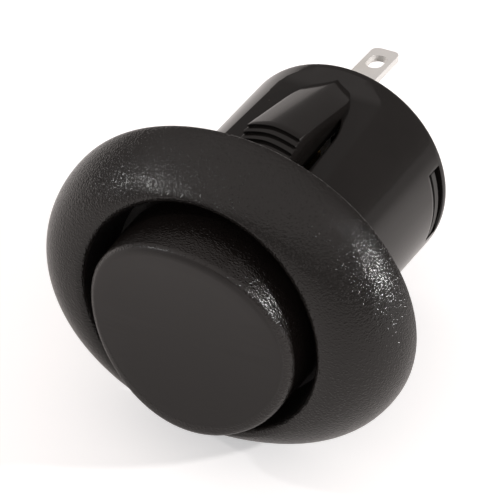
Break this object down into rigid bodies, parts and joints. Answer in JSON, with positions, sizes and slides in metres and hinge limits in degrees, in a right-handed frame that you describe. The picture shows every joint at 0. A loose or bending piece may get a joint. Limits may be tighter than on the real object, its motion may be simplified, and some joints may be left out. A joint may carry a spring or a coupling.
{
  "type": "rocker switch",
  "caption": "Round snap-in rocker switch with an oval domed bezel, a dished round rocker, a smooth barrel with ramped snap clips and flat solder tags",
  "frame": {"origin": "on the barrel's axis, in the plane of the bezel's underside where it seats on the panel", "axes": "+Y runs along the barrel from the bezel to the solder tags, +Z towards the load tag and its snap clip, +X along the bezel's long axis and the rocker's pivot"},
  "size_m": [0.0402, 0.0463, 0.035],
  "materials": {
    "moulded_black": "fine spark-eroded grain on the bezel, semi-gloss barrel",
    "rocker_black": "satin dished face, grained sides",
    "base_black": "semi-gloss moulded",
    "plunger_white": "natural acetal",
    "spring_steel": "drawn wire",
    "blade_brass": "rolled strip",
    "tinned_brass": "dull tin plate",
    "contact_silver": "silver alloy rivet"
  },
  "bodies": {
    "case": {"housing": "moulded_black", "terminal_base": "base_black", "load_terminal": "tinned_brass", "line_terminal": "tinned_brass", "fixed_contact": "contact_silver"},
    "rocker_body": {"rocker": "rocker_black", "plunger_spring": "spring_steel"},
    "plunger_body": {"plunger": "plunger_white"},
    "blade_body": {"contact_blade": "blade_brass", "moving_contact": "contact_silver"}
  },
  "joints": [
    {"name": "rocker_pivot", "type": "hinge", "parent": "case", "child": "rocker_body", "pos_m": [0, 0.0016, 0], "axis": [1, 0, 0], "range_deg": [-6, 0]},
    {"name": "blade_rock", "type": "hinge", "parent": "case", "child": "blade_body", "pos_m": [0, 0.0133, 0], "axis": [1, 0, 0], "range_deg": [0, 14]},
    {"name": "plunger_slide", "type": "slide", "parent": "rocker_body", "child": "plunger_body", "axis": [0, -0.9986, -0.0523], "range_m": [0, 0.0005], "stiffness_N_per_m": 900, "springref_m": -0.002, "deforming": ["plunger_spring"]}
  ],
  "couplings": [
    {"joint": "blade_rock", "follows": "rocker_pivot", "ratio": -2.3333}
  ]
}
